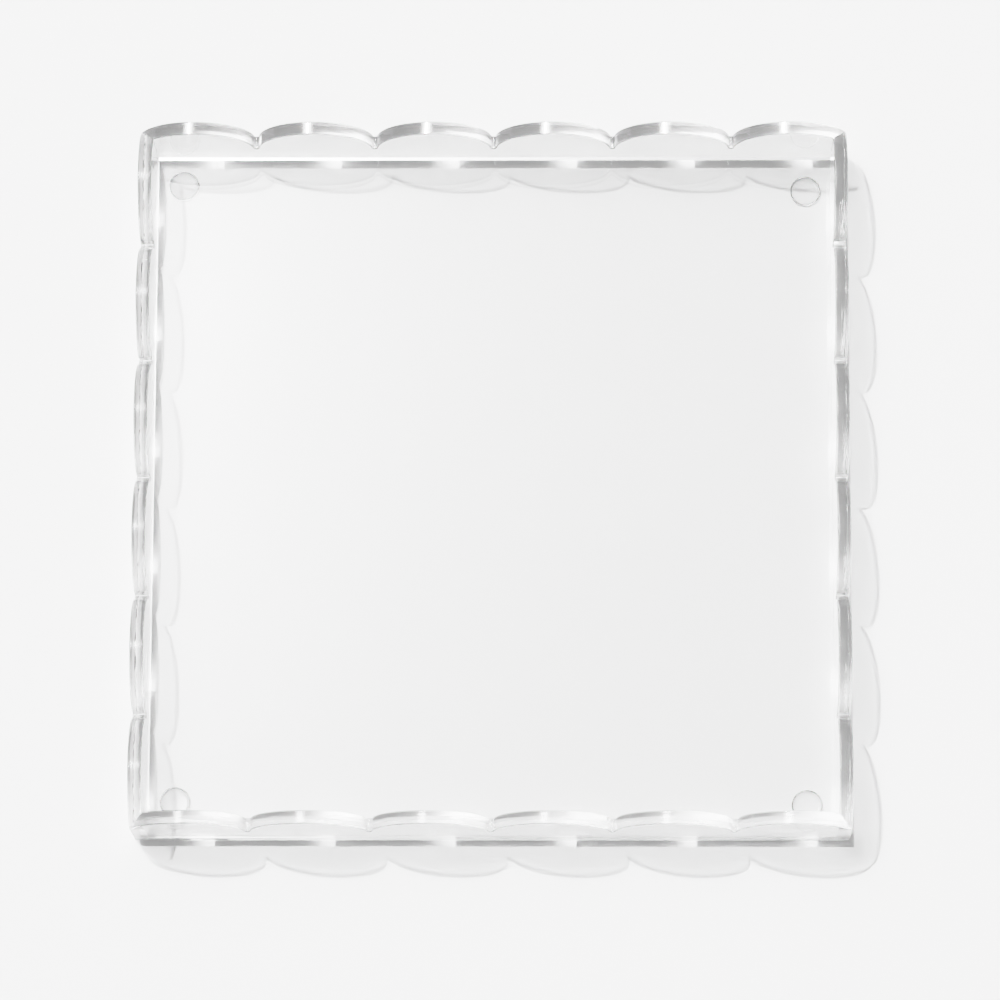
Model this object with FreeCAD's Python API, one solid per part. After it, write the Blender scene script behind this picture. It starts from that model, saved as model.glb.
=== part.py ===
"""Square clear acrylic tray with scalloped walls, standing on four stick-on bumpers.

Origin: middle of the tray, on the plane that the bumpers stand on. +X right, +Y back, +Z up.
The walls stand on the base plate, flush with its edges, and meet in mitred corners.
Every joint is filled by its own thin film of cured cement. All sizes are in millimetres.
"""
import FreeCAD, Part
import math
import os

V = FreeCAD.Vector

# Sheet and tray
tray_size = 305.0          # outside length of each side of the square
sheet = 5.8                # thickness of the acrylic sheet
bond = 0.15                # thickness of a cured cement film
wall_rise = 42.6           # from the top of the base plate to the tops of the scallops

# Scallops along the top edge of every wall
scallop_count = 6          # scallops on each side
notch_gap = 1.5            # narrowest distance between two neighbouring scallop circles
notch_root_radius = 0.85   # rounded bottom of the notch that the cutter leaves
corner_overrun = 1.25      # how far the end scallop circles run past the corner of the tray

# Stick-on bumpers
foot_diameter = 13.2       # where the bumper meets its adhesive
foot_tread_diameter = 9.8  # flat face that the bumper stands on
foot_height = 1.45         # moulded part, without the adhesive
foot_margin = 10.2         # from the edge of the base plate to the bumper's rim
adhesive = 0.15            # thickness of the adhesive disc
adhesive_setback = 0.2     # how far the disc's edge lies inside the bumper's rim

# How far each bumper was stuck from its even place, right and back
foot_shift = {
    "front_left": (0.0, -0.8),
    "front_right": (-1.0, -1.8),
    "back_left": (-0.2, 0.6),
    "back_right": (0.3, -2.0),
}

# Levels and lengths that follow from the sizes above
half = tray_size / 2
base_bottom = foot_height + adhesive
base_top = base_bottom + sheet
wall_bottom = base_top + bond
rim_top = base_top + wall_rise
pitch = (tray_size + 2 * corner_overrun + notch_gap) / scallop_count
scallop_radius = (pitch - notch_gap) / 2
scallop_centre = rim_top - scallop_radius

QUARTER_TURN = 90.0
SIDES = ("front", "right", "back", "left")   # each a quarter turn on from the last
CORNERS = ("front_right", "back_right", "back_left", "front_left")


def turned(shape, quarters):
    """The shape turned about the tray's upright centre line, seen from above anticlockwise."""
    copy = shape.copy()
    copy.rotate(V(0, 0, 0), V(0, 0, 1), QUARTER_TURN * quarters)
    return copy


def scallop_outline():
    """Closed outline of a front wall before its ends are mitred, on the tray's front plane."""
    def at(x, z):
        return V(x, -half, z)

    reach = scallop_radius + notch_root_radius
    root_level = math.sqrt(reach ** 2 - (pitch / 2) ** 2)
    touch_x = pitch / 2 * scallop_radius / reach
    touch_z = scallop_centre + root_level * scallop_radius / reach
    root_bottom = scallop_centre + root_level - notch_root_radius
    first = -(scallop_count - 1) / 2 * pitch
    end_z = scallop_centre + math.sqrt(scallop_radius ** 2 - (half + first) ** 2)

    edges = []
    for i in range(scallop_count):
        x = first + i * pitch
        start = at(x - touch_x, touch_z)
        finish = at(x + touch_x, touch_z)
        if i == 0:
            start = at(-half, end_z)
        if i == scallop_count - 1:
            finish = at(half, end_z)
        edges.append(Part.Arc(start, at(x, rim_top), finish).toShape())
        if i < scallop_count - 1:
            middle = x + pitch / 2
            after = at(x + pitch - touch_x, touch_z)
            edges.append(Part.Arc(finish, at(middle, root_bottom), after).toShape())
    edges.append(Part.makeLine(at(half, end_z), at(half, wall_bottom)))
    edges.append(Part.makeLine(at(half, wall_bottom), at(-half, wall_bottom)))
    edges.append(Part.makeLine(at(-half, wall_bottom), at(-half, end_z)))
    return Part.Wire(edges)


def side_strip(bottom, height):
    """Front side's strip of the tray's plan: one sheet wide, mitred, clear of the corner films."""
    corner_clear = bond / 2 * math.sqrt(2)
    outer = half - corner_clear
    inner = half - sheet - corner_clear
    points = [
        V(-outer, -half, bottom),
        V(outer, -half, bottom),
        V(inner, -half + sheet, bottom),
        V(-inner, -half + sheet, bottom),
    ]
    return Part.Face(Part.makePolygon(points + points[:1])).extrude(V(0, 0, height))


def square_ended_wall():
    """Front wall with square ends, as it is cut from the sheet."""
    return Part.Face(scallop_outline()).extrude(V(0, sheet, 0))


def wall():
    """Front wall with scalloped top and mitred ends."""
    return square_ended_wall().common(side_strip(base_top, wall_rise))


def wall_bond():
    """Cement film between the front wall and the base plate."""
    return side_strip(base_top, bond)


def corner_bond():
    """Cement film in the mitre between the front wall and the right wall, down to the base."""
    front = square_ended_wall()
    overlap = front.common(turned(front, 1))
    sole = Part.makeBox(sheet, sheet, bond, V(half - sheet, -half, base_top))
    film = Part.makeBox(2 * sheet, bond, wall_rise, V(-sheet, -bond / 2, base_top))
    film.rotate(V(0, 0, 0), V(0, 0, 1), -QUARTER_TURN / 2)
    film.translate(V(half - sheet / 2, -half + sheet / 2, 0))
    return overlap.fuse(sole).removeSplitter().common(film)


def base_plate():
    """Flat square plate that the walls stand on."""
    return Part.makeBox(tray_size, tray_size, sheet, V(-half, -half, base_bottom))


def foot_place(corner):
    """Where the middle of a corner's bumper is, seen from above."""
    inset = half - foot_margin - foot_diameter / 2
    right, back = foot_shift[corner]
    x = inset if corner.endswith("right") else -inset
    y = inset if corner.startswith("back") else -inset
    return x + right, y + back


def foot(corner):
    """Moulded bumper: flat tread, bulging side, flat top against the adhesive."""
    x, y = foot_place(corner)
    rim = foot_diameter / 2
    tread = foot_tread_diameter / 2
    bulge = V(x + rim - (rim - tread) * (1 - math.sqrt(0.5)), y, foot_height * (1 - math.sqrt(0.5)))
    outline = [
        Part.makeLine(V(x, y, foot_height), V(x, y, 0)),
        Part.makeLine(V(x, y, 0), V(x + tread, y, 0)),
        Part.Arc(V(x + tread, y, 0), bulge, V(x + rim, y, foot_height)).toShape(),
        Part.makeLine(V(x + rim, y, foot_height), V(x, y, foot_height)),
    ]
    return Part.Face(Part.Wire(outline)).revolve(V(x, y, 0), V(0, 0, 1), 360)


def foot_adhesive(corner):
    """Clear adhesive disc between a bumper and the underside of the base plate."""
    x, y = foot_place(corner)
    return Part.makeCylinder(foot_diameter / 2 - adhesive_setback, adhesive, V(x, y, foot_height))


nodes = {"base_plate": base_plate()}
for quarters, side in enumerate(SIDES):
    nodes["wall_" + side] = turned(wall(), quarters)
    nodes["bond_base_to_" + side + "_wall"] = turned(wall_bond(), quarters)
for quarters, corner in enumerate(CORNERS):
    nodes["bond_" + corner + "_corner"] = turned(corner_bond(), quarters)
    nodes["foot_" + corner] = foot(corner)
    nodes["foot_adhesive_" + corner] = foot_adhesive(corner)

os.makedirs("parts", exist_ok=True)
for name, shape in nodes.items():
    print(f"{name:30s} solids {len(shape.Solids)} valid {shape.isValid()} volume {shape.Volume:.1f}")
    shape.exportStep("parts/" + name + ".step")
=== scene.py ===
"""Looks of a square clear acrylic tray with scalloped walls on four stick-on bumpers.

Clear parts are closed solids that bend light. Where two of them are cemented, the faces that
touch let light straight on. Where air was left between them, the faces stay polished and
mirror it. Lamp light reaches the floor straight through clear parts, by the share they pass.
Lengths are in metres.
"""
import bmesh
import bpy
import math
from mathutils import Matrix, Vector
from mathutils.geometry import delaunay_2d_cdt


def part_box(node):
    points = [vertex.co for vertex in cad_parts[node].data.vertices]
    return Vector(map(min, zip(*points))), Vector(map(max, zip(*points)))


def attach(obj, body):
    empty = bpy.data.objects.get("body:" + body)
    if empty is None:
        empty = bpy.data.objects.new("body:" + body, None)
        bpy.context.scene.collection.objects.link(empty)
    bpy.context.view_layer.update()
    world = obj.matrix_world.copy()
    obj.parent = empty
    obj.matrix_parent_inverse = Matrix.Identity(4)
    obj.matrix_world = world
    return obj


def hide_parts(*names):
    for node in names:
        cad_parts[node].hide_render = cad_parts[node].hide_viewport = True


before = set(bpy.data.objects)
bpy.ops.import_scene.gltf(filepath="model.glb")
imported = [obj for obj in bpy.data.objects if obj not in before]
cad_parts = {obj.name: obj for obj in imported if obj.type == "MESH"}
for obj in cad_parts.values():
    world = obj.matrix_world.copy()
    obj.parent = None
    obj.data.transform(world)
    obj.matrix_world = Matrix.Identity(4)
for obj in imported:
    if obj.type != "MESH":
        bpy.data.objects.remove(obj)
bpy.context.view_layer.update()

MM = 0.001
MICRON = 0.001 * MM
FILM_GAP = 2 * MICRON            # left free between a cement or adhesive film and its neighbours
ALONG = "along"                  # name of the maps that run along a wall
SIDES = ("front", "right", "back", "left")
CORNERS = ("front_right", "back_right", "back_left", "front_left")

# Sizes that the frame gives
base_low, base_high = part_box("base_plate")
wall_low, wall_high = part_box("wall_front")
half = base_high.x
side_length = 2 * half
sheet = base_high.z - base_low.z
base_top = base_high.z
wall_bottom = wall_low.z
rim_top = wall_high.z
bond = wall_bottom - base_top

# Scallops, as the walls were cut
SCALLOPS = 6
NOTCH_GAP = 1.5 * MM             # between two scallops, at the height of their centres
NOTCH_ROOT = 0.85 * MM           # radius of the rounded bottom of a notch
CORNER_OVERRUN = 1.25 * MM       # how far the outermost scallops reach past the tray's corners
ARC_STEP = math.radians(2.0)
ROOT_STEPS = 12
END_ANGLE = math.radians(12)     # where the first and last arcs stop, past the mitre
pitch = (side_length + 2 * CORNER_OVERRUN + NOTCH_GAP) / SCALLOPS
scallop_radius = (pitch - NOTCH_GAP) / 2
scallop_centre = rim_top - scallop_radius

# Cut edges
EDGE_BREAK = 0.45 * MM           # how far flame polishing rounds an edge of a wall
EDGE_STEPS = 3
FLAT_SUPPORT = 0.05 * MM         # strip beside the rounding that keeps the cut face flat
BASE_BREAK = 0.12 * MM           # the base plate's edges are only scraped
RIM_RIPPLE = 0.25 * MM           # bump distance of the ripples that cutting left
BASE_RIPPLE = 0.05 * MM
SHARP = math.radians(38)         # a bend above this is a real edge
WELD = 1e-8                      # points of a cut that lie closer than this are one

# Bumpers and cement
FOOT_TREAD = 9.8 * MM            # across the flat that stands on the floor
FOOT_SEGMENTS = 72
SIDE_STEPS = 7
TREAD_LIFT = 0.02 * MM           # keeps the treads just clear of the floor's face
ADHESIVE_SETBACK = 0.2 * MM
CORNER_STEPS = 8                 # along the scalloped top of the cement in a mitre
SAME_POINT = 1e-9                # outline points that lie closer than this are one

# Camera, its turn in degrees, its lens and sensor in millimetres
CAMERA_PLACE = (0.0437, -0.4907, 2.3284)
CAMERA_TURN = (11.82, 0.96, 0.21)
CAMERA_LENS = 197.7
SENSOR = 36.0
CAMERA_REACH = 100.0

# Floor, by how far it reaches each way
FLOOR_REACH = 12.0
FLOOR_COLOR = (0.8, 0.8, 0.8, 1)
FLOOR_ROUGHNESS = 0.8
FLOOR_SHINE = 0.1

# Lamp, and the sky as an even light with soft lobes: direction, sharpness and brightness of each
LAMP_PLACE = Vector((-1.70, 1.90, 6.4))
LAMP_RADIUS = 0.07
LAMP_WATTS = 1200.0
LAMP_CONE = math.radians(40)
LIGHT_BOUNCES = 256              # the base plate leads light along for 50 bounces and more
SKY = 0.25
LOBES = (
    (LAMP_PLACE.normalized(), 700.0, 12.0),                          # the lamp in reflections
    (Vector((-0.235, 0.25, 0.94)).normalized(), 140.0, 35.0),        # the soft light round it
    (Vector((-0.2, 0.35, 0.91)).normalized(), 6.0, 1.0),             # the bright half of the room
)

# Tone curve: light that comes in and light that is shown
TONE_WHITE = 3.0
TONE = ((0.0, 0.0), (0.2, 0.2), (0.44, 0.42), (0.77, 0.757), (0.95, 0.83), (1.12, 0.88), (1.25, 0.905),
        (1.4, 0.93), (2.0, 0.98), (3.0, 1.0))

# How much of the lamp's light each kind of face passes
PASS_WALL = 0.84
PASS_BASE = 0.88
PASS_RIM = 0.25
PASS_BASE_EDGE = 0.9
PASS_BUMPER_SIDE = 0.55

# Painted light and shade on the floor at a wall's foot: the share of lamp light let through there,
# by place within a scallop, and part of the way from least to most. The least paints a dark band;
# the most, above 1, paints bright patches where the round tops would gather the light.
PAINTED_FOOT_LIGHT = ((0.0, 0.0), (0.34, 0.04), (0.48, 0.4), (0.57, 0.85), (0.655, 1.0), (0.67, 0.0), (1.0, 0.0))
PAINTED_FOOT_LIGHT_LEAST = {"front": 0.1, "right": 0.4, "back": 0.1, "left": 0.45}
PAINTED_FOOT_LIGHT_MOST = {"front": 1.4, "right": 0.8, "back": 1.4, "left": 1.3}
LIGHT_WAY = {"front": 1, "right": -1, "back": -1, "left": 1}     # along a wall, as the light leans
RIM_SHADE = 1.8 * MM             # strip of a rim, on the side light leaves by, that shades the floor
RIM_SHADE_BLUR = 0.36 * MM

# Plastic: how it bends light, how much of it each kind of piece passes, and its surface
ACRYLIC_IOR = 1.49
CLEAR = 0.995
WALL_TINT = 0.87
BASE_TINT = 0.96
BUMPER_TINT = 0.9
WAVES_PER_METRE = 45.0                       # slight unevenness of a factory face
WAVE_DETAIL = 1.0
WAVE_STRENGTH = 0.02
WAVE_HEIGHT = 0.4 * MM
RIPPLES_PER_METRE = (60.0, 500.0, 1.0)       # along a cut edge and across it
RIPPLE_STRENGTH = 0.2
RIPPLE_DETAIL = 2.0
CUT_ROUGHNESS = 0.02
CELLS_PER_METRE = 700.0                      # patches of air in a joint
CELL_DETAIL = 2.0

# Share of each wall's foot that is cemented: place along it, cover
CEMENT_COVER = {
    "front": ((0.0, 0.52), (0.07, 0.48), (0.085, 0.0), (0.257, 0.0), (0.275, 0.5), (0.385, 0.5),
              (0.392, 0.0), (0.44, 0.0), (0.45, 0.62), (0.6, 0.66), (0.68, 0.55), (0.70, 1.0),
              (1.0, 1.0)),
    "right": ((0.0, 0.5), (0.03, 0.0), (0.5, 0.45), (0.55, 0.0), (0.97, 0.0), (1.0, 0.5)),
    "back": ((0.0, 0.5), (0.03, 0.0), (0.97, 0.0), (1.0, 0.5)),
    "left": ((0.0, 0.5), (0.04, 0.0), (0.15, 0.0), (0.17, 0.5), (0.19, 0.0), (0.96, 0.0), (1.0, 0.5)),
}


def new_object(name, bm, materials):
    """Object from a mesh in the making, with its real edges kept sharp."""
    bmesh.ops.recalc_face_normals(bm, faces=bm.faces)
    if bm.calc_volume(signed=True) < 0:
        bmesh.ops.reverse_faces(bm, faces=bm.faces)
    for edge in bm.edges:
        edge.smooth = len(edge.link_faces) != 2 or edge.calc_face_angle() < SHARP
    mesh = bpy.data.meshes.new(name)
    bm.to_mesh(mesh)
    bm.free()
    for material in materials:
        mesh.materials.append(material)
    piece = bpy.data.objects.new(name, mesh)
    bpy.context.scene.collection.objects.link(piece)
    return piece


def clear_piece(name, bm, materials, replaced):
    """Finished piece of the tray that stands for CAD nodes."""
    piece = new_object(name, bm, materials)
    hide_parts(*replaced)
    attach(piece, "root")


# ---------------------------------------------------------------- materials
def new_material(name):
    """Material with an empty node tree."""
    material = bpy.data.materials.new(name)
    material.use_nodes = True
    nodes = material.node_tree.nodes
    nodes.clear()
    return material, nodes, material.node_tree.links


def finish_material(material, nodes, links, shader):
    """The material, with its shader as the surface."""
    out = nodes.new("ShaderNodeOutputMaterial")
    links.new(shader, out.inputs["Surface"])
    return material


def passing_lamp(nodes, links, seen, lamp_share):
    """The shader as seen, that lets a share of the lamp's light straight on, a number or a
    socket."""
    through = nodes.new("ShaderNodeBsdfTransparent")
    if isinstance(lamp_share, float):
        through.inputs["Color"].default_value = (lamp_share, lamp_share, lamp_share, 1)
    else:
        links.new(lamp_share, through.inputs["Color"])
    path = nodes.new("ShaderNodeLightPath")
    mix = nodes.new("ShaderNodeMixShader")
    links.new(path.outputs["Is Shadow Ray"], mix.inputs["Fac"])
    links.new(seen, mix.inputs[1])
    links.new(through.outputs["BSDF"], mix.inputs[2])
    return mix.outputs["Shader"]


def clear_shader(nodes, links, roughness, lamp_share, normal, tint=CLEAR):
    """Solid clear plastic."""
    plastic = nodes.new("ShaderNodeBsdfPrincipled")
    plastic.inputs["Base Color"].default_value = (tint, tint, tint, 1)
    plastic.inputs["Roughness"].default_value = roughness
    plastic.inputs["IOR"].default_value = ACRYLIC_IOR
    plastic.inputs["Transmission Weight"].default_value = 1.0
    if normal is not None:
        links.new(normal, plastic.inputs["Normal"])
    return passing_lamp(nodes, links, plastic.outputs["BSDF"], lamp_share)


def polished_face(name, lamp_share, tint=CLEAR):
    """Factory face of the sheet: very slight waviness."""
    material, nodes, links = new_material(name)
    place = nodes.new("ShaderNodeTexCoord")
    noise = nodes.new("ShaderNodeTexNoise")
    noise.inputs["Scale"].default_value = WAVES_PER_METRE
    noise.inputs["Detail"].default_value = WAVE_DETAIL
    bump = nodes.new("ShaderNodeBump")
    bump.inputs["Strength"].default_value = WAVE_STRENGTH
    bump.inputs["Distance"].default_value = WAVE_HEIGHT
    links.new(place.outputs["Object"], noise.inputs["Vector"])
    links.new(noise.outputs["Fac"], bump.inputs["Height"])
    shader = clear_shader(nodes, links, 0.0, lamp_share, bump.outputs["Normal"], tint)
    return finish_material(material, nodes, links, shader)


def cut_edge(name, shaded_share, share, ripple):
    """Cut and flame-polished edge, with fine ripples that lie along it. Its map runs along the
    edge and across it, from the face that the lamp's light leaves by."""
    material, nodes, links = new_material(name)
    place = nodes.new("ShaderNodeUVMap")
    place.uv_map = ALONG
    stretch = nodes.new("ShaderNodeMapping")
    stretch.inputs["Scale"].default_value = RIPPLES_PER_METRE
    noise = nodes.new("ShaderNodeTexNoise")
    noise.noise_dimensions = "2D"
    noise.inputs["Scale"].default_value = 1.0
    noise.inputs["Detail"].default_value = RIPPLE_DETAIL
    bump = nodes.new("ShaderNodeBump")
    bump.inputs["Strength"].default_value = RIPPLE_STRENGTH
    bump.inputs["Distance"].default_value = ripple
    split = nodes.new("ShaderNodeSeparateXYZ")
    shade = nodes.new("ShaderNodeMapRange")
    shade.inputs["From Min"].default_value = RIM_SHADE - RIM_SHADE_BLUR
    shade.inputs["From Max"].default_value = RIM_SHADE + RIM_SHADE_BLUR
    shade.inputs["To Min"].default_value = shaded_share
    shade.inputs["To Max"].default_value = share
    links.new(place.outputs["UV"], stretch.inputs["Vector"])
    links.new(stretch.outputs["Vector"], noise.inputs["Vector"])
    links.new(noise.outputs["Fac"], bump.inputs["Height"])
    links.new(place.outputs["UV"], split.inputs["Vector"])
    links.new(split.outputs["Y"], shade.inputs["Value"])
    shader = clear_shader(nodes, links, CUT_ROUGHNESS, shade.outputs["Result"],
                          bump.outputs["Normal"], WALL_TINT)
    return finish_material(material, nodes, links, shader)


def joined_face(name):
    """Face that is cemented to its neighbour all over: light goes straight on."""
    material, nodes, links = new_material(name)
    through = nodes.new("ShaderNodeBsdfTransparent")
    return finish_material(material, nodes, links, through.outputs["BSDF"])


def set_ramp(ramp, stops):
    """Stops of a grey ramp, the first at 0 and the last at 1."""
    for position, grey in stops[1:-1]:
        ramp.elements.new(position).color = (grey, grey, grey, 1)
    for element, (position, grey) in ((ramp.elements[0], stops[0]), (ramp.elements[-1], stops[-1])):
        element.color = (grey, grey, grey, 1)


def painted_foot_light_share(nodes, links, along, side):
    """Painted light and shade at a wall's foot: share of the lamp's light let through there, laid out
    by place; it grows along the way the light leans and stops short of the next notch."""
    way = LIGHT_WAY[side]
    least, most = PAINTED_FOOT_LIGHT_LEAST[side], PAINTED_FOOT_LIGHT_MOST[side]
    turn = nodes.new("ShaderNodeMath")
    turn.operation = "MULTIPLY_ADD"
    turn.inputs[1].default_value = way / pitch
    turn.inputs[2].default_value = -way * half / pitch
    place = nodes.new("ShaderNodeMath")
    place.operation = "FRACT"
    share = nodes.new("ShaderNodeValToRGB")
    set_ramp(share.color_ramp, [(position, least + (most - least) * part) for position, part in PAINTED_FOOT_LIGHT])
    links.new(along, turn.inputs[0])
    links.new(turn.outputs["Value"], place.inputs[0])
    links.new(place.outputs["Value"], share.inputs["Fac"])
    return share.outputs["Color"]


def joint_face(side):
    """Foot of a wall: cemented where the cover is high, and dry with small air cells elsewhere."""
    material, nodes, links = new_material("joint_" + side)
    place = nodes.new("ShaderNodeUVMap")
    place.uv_map = ALONG
    split = nodes.new("ShaderNodeSeparateXYZ")
    along = nodes.new("ShaderNodeMath")
    along.operation = "DIVIDE"
    along.inputs[1].default_value = side_length
    cover = nodes.new("ShaderNodeValToRGB")
    set_ramp(cover.color_ramp, CEMENT_COVER[side])
    cells = nodes.new("ShaderNodeTexNoise")
    cells.noise_dimensions = "2D"
    cells.inputs["Scale"].default_value = CELLS_PER_METRE
    cells.inputs["Detail"].default_value = CELL_DETAIL
    cemented = nodes.new("ShaderNodeMath")
    cemented.operation = "LESS_THAN"
    # painted light and shade: the lamp light this foot lets through is laid out by place along the wall
    painted_light_share = painted_foot_light_share(nodes, links, split.outputs["X"], side)
    dry = clear_shader(nodes, links, 0.0, painted_light_share, None)
    through = nodes.new("ShaderNodeBsdfTransparent")
    wet = passing_lamp(nodes, links, through.outputs["BSDF"], painted_light_share)
    mix = nodes.new("ShaderNodeMixShader")
    links.new(place.outputs["UV"], split.inputs["Vector"])
    links.new(split.outputs["X"], along.inputs[0])
    links.new(along.outputs["Value"], cover.inputs["Fac"])
    links.new(place.outputs["UV"], cells.inputs["Vector"])
    links.new(cells.outputs["Fac"], cemented.inputs[0])
    links.new(cover.outputs["Color"], cemented.inputs[1])
    links.new(cemented.outputs["Value"], mix.inputs["Fac"])
    links.new(dry, mix.inputs[1])
    links.new(wet, mix.inputs[2])
    return finish_material(material, nodes, links, mix.outputs["Shader"])


WALL_FACE = polished_face("acrylic_wall_face", PASS_WALL, WALL_TINT)
BASE_FACE = polished_face("acrylic_base_face", PASS_BASE, BASE_TINT)
EDGE = cut_edge("acrylic_cut_edge", PASS_RIM, PASS_WALL, RIM_RIPPLE)
BASE_EDGE = cut_edge("acrylic_base_edge", PASS_BASE_EDGE, PASS_BASE_EDGE, BASE_RIPPLE)
JOINED = joined_face("cemented_face")
JOINT = {side: joint_face(side) for side in SIDES}
CEMENT = polished_face("cured_cement", PASS_BASE)
BUMPER = polished_face("bumper_plastic", PASS_BASE, BUMPER_TINT)
BUMPER_SIDE = polished_face("bumper_side", PASS_BUMPER_SIDE, BUMPER_TINT)


# ---------------------------------------------------------------- walls
def rim_points():
    """Points along a front wall's top edge: middle of the arc, its radius, +1 or -1 for which
    way the plastic lies, and the angle."""
    points = []
    reach = scallop_radius + NOTCH_ROOT
    root_level = math.sqrt(reach ** 2 - (pitch / 2) ** 2)
    touch = math.atan2(root_level, pitch / 2)
    for i in range(SCALLOPS):
        middle = (i - (SCALLOPS - 1) / 2) * pitch
        start = math.pi - (END_ANGLE if i == 0 else touch)
        finish = END_ANGLE if i == SCALLOPS - 1 else touch
        steps = round((start - finish) / ARC_STEP)
        for k in range(steps + 1):
            angle = start + (finish - start) * k / steps
            points.append((middle, scallop_centre, scallop_radius, 1, angle))
        if i < SCALLOPS - 1:
            for k in range(1, ROOT_STEPS):
                angle = math.pi + touch + (math.pi - 2 * touch) * k / ROOT_STEPS
                points.append((middle + pitch / 2, scallop_centre + root_level, NOTCH_ROOT, -1, angle))
    return points


def rim_place(point, inset):
    """Where a rim point lies once the edge is moved into the plastic by inset."""
    x, z, radius, way, angle = point
    reach = radius - way * inset
    return x + reach * math.cos(angle), z + reach * math.sin(angle)


def edge_profile():
    """Depth from the outer face and inset from the cut edge, across the sheet."""
    profile = []
    for k in range(EDGE_STEPS + 1):
        turn = math.pi / 2 * k / EDGE_STEPS
        profile.append((EDGE_BREAK * (1 - math.cos(turn)), EDGE_BREAK * (1 - math.sin(turn))))
    profile.append((EDGE_BREAK + FLAT_SUPPORT, 0))
    return profile + [(sheet - depth, inset) for depth, inset in reversed(profile)]


def wall(quarters, side):
    """Wall with its scallops, rounded edges and mitred ends, made in front and then turned."""
    bm = bmesh.new()
    uv = bm.loops.layers.uv.new(ALONG)
    profile = edge_profile()
    columns = []
    lengths = []
    length = 0.0
    last = None
    for point in rim_points():
        here = Vector(rim_place(point, 0))
        length += (here - last).length if last is not None else 0.0
        last = here
        column = []
        for depth, inset in profile:
            x, z = rim_place(point, inset)
            column.append(bm.verts.new((x, -half + depth, z)))
        foot_x = column[0].co.x
        column.insert(0, bm.verts.new((foot_x, -half, wall_bottom)))
        column.append(bm.verts.new((foot_x, -half + sheet, wall_bottom)))
        columns.append(column)
        lengths.append(length)
    count = len(columns[0])
    face_slot, edge_slot, foot_slot, mitre_slot = range(4)
    leaves_outside = side in ("front", "right")
    for i, (here, there) in enumerate(zip(columns, columns[1:])):
        for j in range(count):
            k = (j + 1) % count
            face = bm.faces.new((here[j], here[k], there[k], there[j]))
            if j == count - 1:
                face.material_index = foot_slot
            elif j in (0, count - 2):
                face.material_index = face_slot
            else:
                face.material_index = edge_slot
            face.smooth = face.material_index == edge_slot
            for loop in face.loops:
                depth = loop.vert.co.y + half
                if face.material_index == edge_slot:
                    across = depth if leaves_outside else sheet - depth
                    loop[uv].uv = (lengths[i + (loop.vert in there)], across)
                else:
                    loop[uv].uv = (loop.vert.co.x + half, depth)
    bm.faces.new(columns[0])
    bm.faces.new(list(reversed(columns[-1])))
    for way in (-1, 1):
        out_of_corner = Vector((way, 1, 0)).normalized()
        place = Vector((way * half, -half, 0)) - out_of_corner * bond / 2
        cut = bmesh.ops.bisect_plane(bm, geom=bm.verts[:] + bm.edges[:] + bm.faces[:], dist=WELD,
                                     plane_co=place, plane_no=out_of_corner, clear_outer=True)
        rim = [item for item in cut["geom_cut"] if isinstance(item, bmesh.types.BMEdge)]
        for face in bmesh.ops.holes_fill(bm, edges=rim, sides=0)["faces"]:
            face.material_index = mitre_slot
            face.smooth = False
    bm.transform(Matrix.Rotation(math.pi / 2 * quarters, 4, "Z"))
    clear_piece("clear_wall_" + side, bm, (WALL_FACE, EDGE, JOINT[side], JOINED),
                ("wall_" + side,))


# ---------------------------------------------------------------- bumpers
def foot_facts(corner):
    """Middle, radius and levels of a bumper and of its adhesive."""
    low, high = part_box("foot_" + corner)
    middle = (low + high) / 2
    return middle, (high.x - low.x) / 2, low.z, high.z


def revolve(bm, profile, middle, slots):
    """Turned solid from (radius, height) points whose first and last lie on the axis."""
    rings = []
    for radius, height in profile:
        if radius == 0:
            rings.append([bm.verts.new((middle.x, middle.y, height))])
            continue
        ring = []
        for k in range(FOOT_SEGMENTS):
            turn = 2 * math.pi * k / FOOT_SEGMENTS
            x = middle.x + radius * math.cos(turn)
            y = middle.y + radius * math.sin(turn)
            ring.append(bm.verts.new((x, y, height)))
        rings.append(ring)
    for lower, upper, slot in zip(rings, rings[1:], slots):
        for k in range(FOOT_SEGMENTS):
            corners = [lower[k % len(lower)], lower[(k + 1) % len(lower)],
                       upper[(k + 1) % len(upper)], upper[k % len(upper)]]
            face = bm.faces.new(list(dict.fromkeys(corners)))
            face.material_index = slot
            face.smooth = True


def foot(corner):
    """Stick-on bumper: flat tread, bulging side, and a top that the adhesive wets."""
    middle, radius, low, high = foot_facts(corner)
    tread = FOOT_TREAD / 2
    glued = radius - ADHESIVE_SETBACK
    profile = [(0, low + TREAD_LIFT), (tread, low + TREAD_LIFT)]
    for k in range(1, SIDE_STEPS + 1):
        turn = math.pi / 2 * k / SIDE_STEPS
        profile.append((tread + (radius - tread) * math.sin(turn), high - (high - low) * math.cos(turn)))
    profile += [(glued, high), (0, high)]
    slots = [0] + [2] * SIDE_STEPS + [0, 1]
    bm = bmesh.new()
    revolve(bm, profile, middle, slots)
    clear_piece("bumper_" + corner, bm, (BUMPER, JOINED, BUMPER_SIDE),
                ("foot_" + corner,))

    bm = bmesh.new()
    bottom = high + FILM_GAP
    top = base_low.z - FILM_GAP
    revolve(bm, [(0, bottom), (glued, bottom), (glued, top), (0, top)], middle, (1, 0, 1))
    clear_piece("adhesive_" + corner, bm, (BUMPER, JOINED),
                ("foot_adhesive_" + corner,))


# ---------------------------------------------------------------- base plate
def square(reach, level):
    """Corners of a level square, in turn."""
    return [Vector((x * reach, y * reach, level)) for x, y in ((-1, -1), (1, -1), (1, 1), (-1, 1))]


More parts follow.
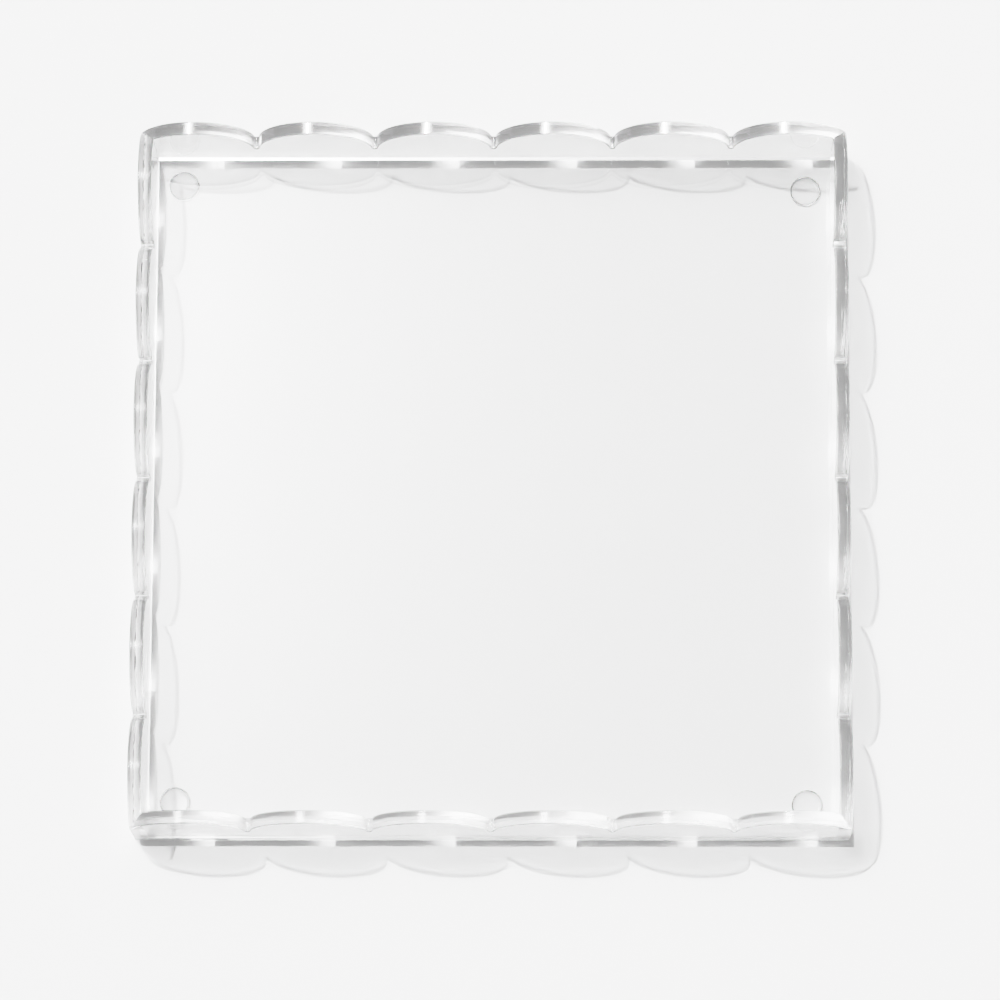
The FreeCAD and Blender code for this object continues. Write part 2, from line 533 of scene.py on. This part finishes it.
def base_plate():
    """Base plate with scraped edges. Its top is divided into the floor of the tray and the
    strips under the walls, and its underside has a wetted disc over every bumper."""
    bm = bmesh.new()
    uv = bm.loops.layers.uv.new(ALONG)
    materials = [BASE_FACE, BASE_EDGE] + [JOINT[side] for side in SIDES] + [JOINED]
    face_slot, edge_slot, first_joint_slot, joined_slot = 0, 1, 2, 6
    levels = ((0, BASE_BREAK), (BASE_BREAK, 0), (sheet - BASE_BREAK, 0), (sheet, BASE_BREAK))
    rings = []
    for rise, inset in levels:
        rings.append([bm.verts.new(v) for v in square(half - inset, base_low.z + rise)])
    for lower, upper in zip(rings, rings[1:]):
        for k in range(4):
            face = bm.faces.new((lower[k], lower[(k + 1) % 4], upper[(k + 1) % 4], upper[k]))
            face.material_index = edge_slot
            for loop in face.loops:
                loop[uv].uv = (loop.vert.co.x + loop.vert.co.y, loop.vert.co.z - base_low.z)
    inner = [bm.verts.new(v) for v in square(half - sheet, base_top)]
    bm.faces.new(inner)
    for k in range(4):
        face = bm.faces.new((rings[-1][k], rings[-1][(k + 1) % 4], inner[(k + 1) % 4], inner[k]))
        face.material_index = first_joint_slot + k
        unturn = Matrix.Rotation(-math.pi / 2 * k, 3, "Z")
        for loop in face.loops:
            place = unturn @ loop.vert.co
            loop[uv].uv = (place.x + half, place.y + half)

    points = [v.to_2d() for v in square(half - BASE_BREAK, 0)]
    faces = [list(range(4))]
    for corner in CORNERS:
        middle, radius = foot_facts(corner)[:2]
        start = len(points)
        for k in range(FOOT_SEGMENTS):
            turn = 2 * math.pi * k / FOOT_SEGMENTS
            outward = Vector((math.cos(turn), math.sin(turn)))
            points.append(middle.to_2d() + (radius - ADHESIVE_SETBACK) * outward)
        faces.append(list(range(start, len(points))))
    flat, _, triangles, _, _, inside = delaunay_2d_cdt(points, [], faces, 1, SAME_POINT)
    verts = [bm.verts.new((v.x, v.y, base_low.z)) for v in flat]
    for triangle, owners in zip(triangles, inside):
        face = bm.faces.new([verts[k] for k in triangle])
        face.material_index = joined_slot if max(owners) > 0 else face_slot
    bmesh.ops.remove_doubles(bm, verts=bm.verts, dist=MICRON)
    clear_piece("clear_base_plate", bm, materials, ("base_plate",))


# ---------------------------------------------------------------- cement
def wall_film(quarters, side):
    """Cement film between a wall and the base plate."""
    bm = bmesh.new()
    uv = bm.loops.layers.uv.new(ALONG)
    clear = bond / 2 * math.sqrt(2)
    outer, inner = half - clear, half - sheet - clear
    outline = ((-outer, -half), (outer, -half), (inner, -half + sheet), (-inner, -half + sheet))
    low = [bm.verts.new((x, y, base_top + FILM_GAP)) for x, y in outline]
    high = [bm.verts.new((x, y, wall_bottom - FILM_GAP)) for x, y in outline]
    bm.faces.new(list(reversed(low))).material_index = 1
    bm.faces.new(high).material_index = 1
    for k in range(4):
        face = bm.faces.new((low[k], low[(k + 1) % 4], high[(k + 1) % 4], high[k]))
        is_mitred_end = k in (1, 3)
        face.material_index = 1 if is_mitred_end else 0
    for face in bm.faces:
        for loop in face.loops:
            loop[uv].uv = (loop.vert.co.x + half, loop.vert.co.y + half)
    bm.transform(Matrix.Rotation(math.pi / 2 * quarters, 4, "Z"))
    clear_piece("cement_under_" + side + "_wall", bm, (JOINT[side], JOINED),
                ("bond_base_to_" + side + "_wall",))


def corner_film(quarters, corner):
    """Cement film in a mitre, made in the front right corner and then turned."""
    bm = bmesh.new()
    last_middle = (SCALLOPS - 1) / 2 * pitch
    overhang = bond / 2 / math.sqrt(2)
    rows = []
    for k in range(CORNER_STEPS + 1):
        depth = overhang + (sheet - 2 * overhang) * k / CORNER_STEPS
        x = half - depth
        top = scallop_centre + math.sqrt(scallop_radius ** 2 - (x - last_middle) ** 2) - EDGE_BREAK / 2
        rows.append((Vector((x, -x, 0)), top))
    across = Vector((1, 1, 0)).normalized() * (bond / 2 - FILM_GAP)
    columns = []
    for place, top in rows:
        column = []
        for way in (-1, 1):
            column.append(bm.verts.new(place + way * across + Vector((0, 0, base_top + FILM_GAP))))
            column.append(bm.verts.new(place + way * across + Vector((0, 0, top))))
        columns.append(column)
    for here, there in zip(columns, columns[1:]):
        for a, b, slot in ((0, 1, 1), (1, 3, 0), (3, 2, 1), (2, 0, 1)):
            bm.faces.new((here[a], here[b], there[b], there[a])).material_index = slot
    for end in (columns[0], columns[-1]):
        bm.faces.new((end[0], end[1], end[3], end[2])).material_index = 0
    bm.transform(Matrix.Rotation(math.pi / 2 * quarters, 4, "Z"))
    clear_piece("cement_" + corner + "_corner", bm, (CEMENT, JOINED),
                ("bond_" + corner + "_corner",))


base_plate()
for quarters, side in enumerate(SIDES):
    wall(quarters, side)
    wall_film(quarters, side)
for quarters, corner in enumerate(CORNERS):
    corner_film(quarters, corner)
    foot(corner)


# ---------------------------------------------------------------- stage, light, camera
def stage():
    """Plain pale floor."""
    bm = bmesh.new()
    bm.faces.new([bm.verts.new(v) for v in square(FLOOR_REACH, 0)])
    material, nodes, links = new_material("pale_floor")
    paint = nodes.new("ShaderNodeBsdfPrincipled")
    paint.inputs["Base Color"].default_value = FLOOR_COLOR
    paint.inputs["Roughness"].default_value = FLOOR_ROUGHNESS
    paint.inputs["Specular IOR Level"].default_value = FLOOR_SHINE
    finish_material(material, nodes, links, paint.outputs["BSDF"])
    new_object("floor", bm, (material,))


def sky_lobe(nodes, links, direction, sharpness, brightness):
    """Soft round light in the sky: brightest in its direction and falling off with angle."""
    place = nodes.new("ShaderNodeTexCoord")
    facing = nodes.new("ShaderNodeVectorMath")
    facing.operation = "DOT_PRODUCT"
    facing.inputs[1].default_value = direction
    fall = nodes.new("ShaderNodeMath")
    fall.operation = "MULTIPLY_ADD"
    fall.inputs[1].default_value = sharpness
    fall.inputs[2].default_value = -sharpness
    shape = nodes.new("ShaderNodeMath")
    shape.operation = "EXPONENT"
    size = nodes.new("ShaderNodeMath")
    size.operation = "MULTIPLY"
    size.inputs[1].default_value = brightness
    links.new(place.outputs["Generated"], facing.inputs[0])
    links.new(facing.outputs["Value"], fall.inputs[0])
    links.new(fall.outputs["Value"], shape.inputs[0])
    links.new(shape.outputs["Value"], size.inputs[0])
    return size.outputs["Value"]


def light():
    """Lamp that casts the shadows, and the sky that the clear parts show."""
    world = bpy.data.worlds.new("studio")
    bpy.context.scene.world = world
    world.use_nodes = True
    world.cycles.sampling_method = "NONE"
    nodes, links = world.node_tree.nodes, world.node_tree.links
    background = nodes["Background"]
    background.inputs["Color"].default_value = (1, 1, 1, 1)
    even = nodes.new("ShaderNodeValue")
    even.outputs["Value"].default_value = SKY
    total = even.outputs["Value"]
    for direction, sharpness, brightness in LOBES:
        lobe = sky_lobe(nodes, links, direction, sharpness, brightness)
        add = nodes.new("ShaderNodeMath")
        links.new(lobe, add.inputs[0])
        links.new(total, add.inputs[1])
        total = add.outputs["Value"]
    links.new(total, background.inputs["Strength"])
    lamp = bpy.data.lights.new("key", "SPOT")
    lamp.energy = LAMP_WATTS
    lamp.shadow_soft_size = LAMP_RADIUS
    lamp.spot_size = LAMP_CONE
    lamp.cycles.use_multiple_importance_sampling = False
    holder = bpy.data.objects.new("key", lamp)
    holder.location = LAMP_PLACE
    holder.rotation_euler = (-LAMP_PLACE).to_track_quat("-Z", "Y").to_euler()
    bpy.context.scene.collection.objects.link(holder)


def camera():
    """Camera far away, high above and a little in front."""
    data = bpy.data.cameras.new("camera")
    data.lens = CAMERA_LENS
    data.sensor_width = SENSOR
    data.clip_end = CAMERA_REACH
    holder = bpy.data.objects.new("camera", data)
    holder.location = CAMERA_PLACE
    holder.rotation_euler = [math.radians(a) for a in CAMERA_TURN]
    bpy.context.scene.collection.objects.link(holder)
    bpy.context.scene.camera = holder


def soften_highlights(view):
    """Tone curve with a soft shoulder, as a camera gives a bright white scene."""
    view.use_curve_mapping = True
    mapping = view.curve_mapping
    mapping.white_level = (TONE_WHITE,) * 3
    combined = mapping.curves[-1]
    for light_in, light_out in TONE[1:-1]:
        combined.points.new(light_in / TONE_WHITE, light_out)
    combined.points[0].location = TONE[0]
    combined.points[-1].location = (TONE[-1][0] / TONE_WHITE, TONE[-1][1])
    mapping.update()


stage()
light()
camera()
scene = bpy.context.scene
scene.view_settings.view_transform = "Standard"
soften_highlights(scene.view_settings)
scene.cycles.max_bounces = LIGHT_BOUNCES
scene.cycles.transmission_bounces = LIGHT_BOUNCES
scene.cycles.glossy_bounces = LIGHT_BOUNCES
scene.cycles.transparent_max_bounces = LIGHT_BOUNCES
scene.cycles.blur_glossy = 0.0
